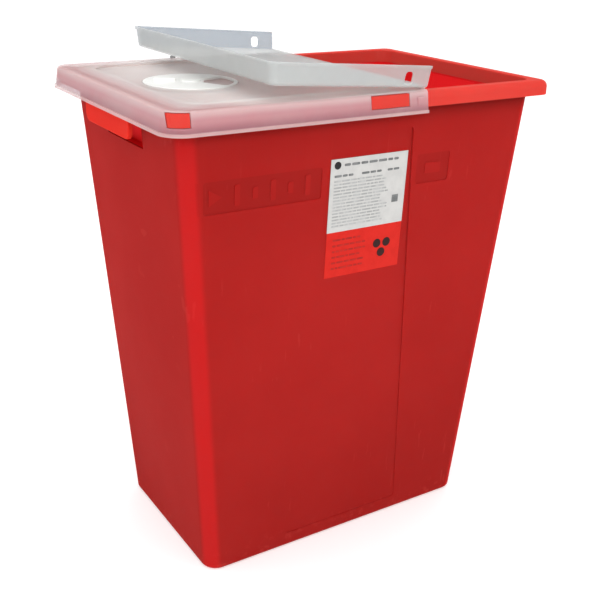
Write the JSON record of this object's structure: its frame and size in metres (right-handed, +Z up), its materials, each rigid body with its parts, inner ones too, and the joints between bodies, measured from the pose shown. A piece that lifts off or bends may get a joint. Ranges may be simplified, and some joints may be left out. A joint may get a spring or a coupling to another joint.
{
  "type": "sharps container",
  "caption": "Tall drafted tub with a rolled rim and side grips, a translucent pressed-on lid with a folded-back hinged flap, and a round turning rotor over a port.",
  "frame": {"origin": "centre of the tub's flat base, at the surface that it stands on", "axes": "+Z up; +X along the long side, from the fixed half of the lid towards the open half of the mouth; the labelled wall faces -Y"},
  "size_m": [0.4032, 0.2728, 0.4906],
  "materials": {
    "red_plastic": "satin moulded polypropylene, fine grain",
    "natural_plastic": "translucent natural polypropylene, frosted",
    "white_plastic": "satin moulded white polypropylene",
    "label_white": "matt printed film",
    "label_orange": "matt printed film"
  },
  "bodies": {
    "tub": {"tub_shell": "red_plastic", "rim_flange": "red_plastic", "left_grip": "red_plastic", "right_grip": "red_plastic", "lid_base": "natural_plastic", "living_hinge": "natural_plastic", "white_label": "label_white", "orange_label": "label_orange"},
    "flap": {"lid_flap": "natural_plastic"},
    "rotor": {"rotor_disc": "white_plastic", "rotor_hub": "white_plastic"}
  },
  "joints": [
    {"name": "flap_hinge", "type": "hinge", "parent": "tub", "child": "flap", "pos_m": [0.043, 0, 0.459], "axis": [0, 1, 0], "range_deg": [0, 175.7]},
    {"name": "rotor_turn", "type": "hinge", "parent": "tub", "child": "rotor", "pos_m": [-0.1188, 0, 0.4559], "axis": [0, 0, 1], "continuous": true}
  ]
}
